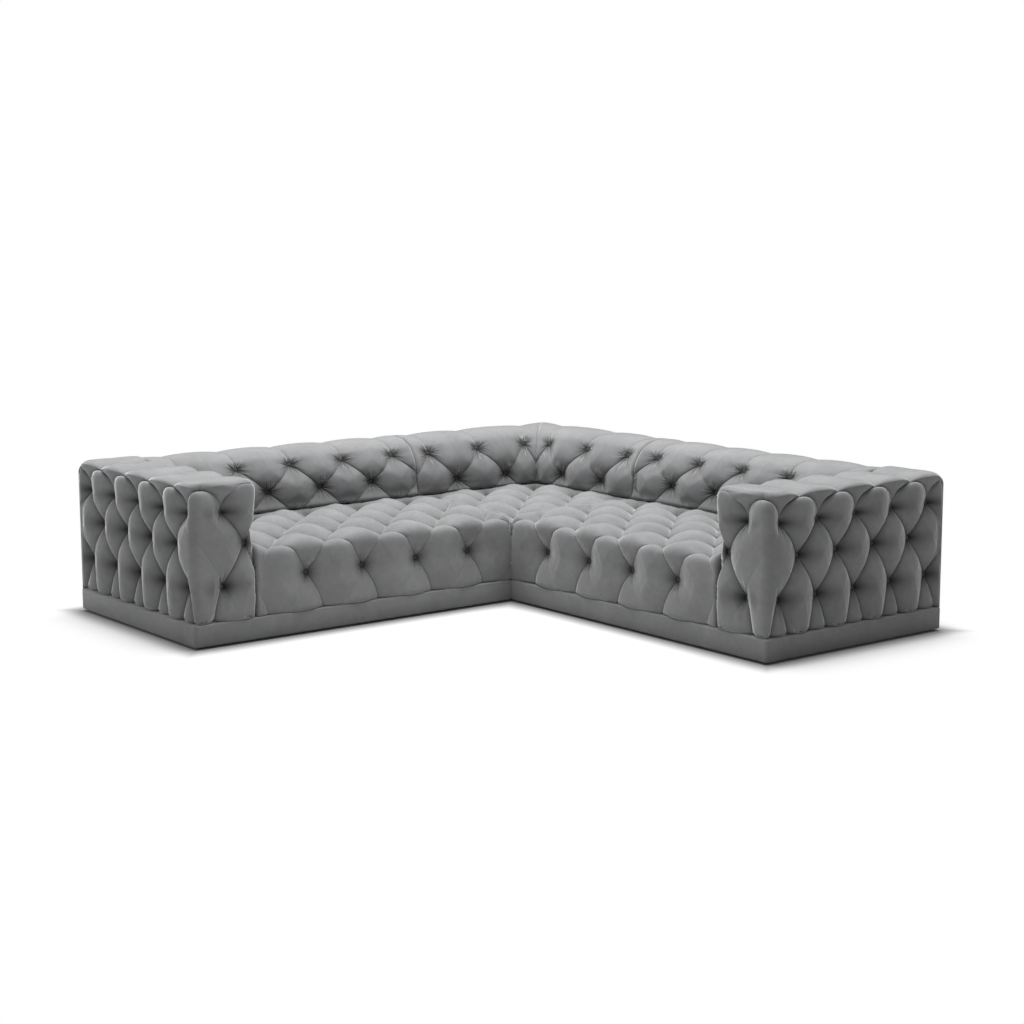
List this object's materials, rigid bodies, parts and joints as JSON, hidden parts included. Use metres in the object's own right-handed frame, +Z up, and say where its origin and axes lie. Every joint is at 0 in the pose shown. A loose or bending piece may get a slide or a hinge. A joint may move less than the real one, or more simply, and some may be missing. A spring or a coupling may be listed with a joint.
{
  "type": "corner sofa",
  "caption": "L-shaped modular corner sofa, deeply button-tufted in grey velvet all over, with wide arms level with the back and a smooth upholstered plinth",
  "frame": {"origin": "the middle of the bounding square of the plan, on the floor", "axes": "+Z up. The sofa is an L whose outer corner is at -X +Y: one arm module runs along +X at the rear, +Y side, and faces -Y; the other runs along -Y at the -X side and faces +X. It is symmetric about the vertical plane y = -x."},
  "size_m": [2.81, 2.81, 0.715],
  "materials": {
    "velvet": "short-pile mid-grey velvet with a soft sheen on its crests",
    "timber": "sawn, unfinished",
    "spring_steel": "bright wire and plate",
    "webbing": "woven elastic webbing",
    "dust_cloth": "black nonwoven cloth",
    "glide_plastic": "black moulded"
  },
  "bodies": {
    "root": {"left_plinth": "velvet", "left_glides": "glide_plastic", "left_dust_cover": "dust_cloth", "left_seat_frame": "timber", "left_seat_springs": "spring_steel", "left_spring_clips": "spring_steel", "left_seat_pad": "velvet", "left_front_pad": "velvet", "left_seat_buttons": "velvet", "left_back_frame": "timber", "left_back_webbing": "webbing", "left_back_pad": "velvet", "left_back_buttons": "velvet", "left_outside_back": "velvet", "left_arm_frame": "timber", "left_arm_boards": "timber", "left_arm_pad": "velvet", "left_arm_buttons": "velvet", "right_plinth": "velvet", "right_glides": "glide_plastic", "right_dust_cover": "dust_cloth", "right_seat_frame": "timber", "right_seat_springs": "spring_steel", "right_spring_clips": "spring_steel", "right_seat_pad": "velvet", "right_front_pad": "velvet", "right_seat_buttons": "velvet", "right_back_frame": "timber", "right_back_webbing": "webbing", "right_back_pad": "velvet", "right_back_buttons": "velvet", "right_outside_back": "velvet", "right_arm_frame": "timber", "right_arm_boards": "timber", "right_arm_pad": "velvet", "right_arm_buttons": "velvet", "corner_plinth": "velvet", "corner_glides": "glide_plastic", "corner_dust_cover": "dust_cloth", "corner_seat_frame": "timber", "corner_seat_springs": "spring_steel", "corner_spring_clips": "spring_steel", "corner_seat_pad": "velvet", "corner_seat_buttons": "velvet", "corner_back_frame": "timber", "corner_back_webbing": "webbing", "corner_back_pad_left": "velvet", "corner_back_pad_right": "velvet", "corner_back_buttons": "velvet", "corner_outside_back_left": "velvet", "corner_outside_back_right": "velvet", "left_joint_jaws": "spring_steel", "left_joint_tongues": "spring_steel", "right_joint_jaws": "spring_steel", "right_joint_tongues": "spring_steel", "joint_screws": "spring_steel"}
  },
  "joints": []
}
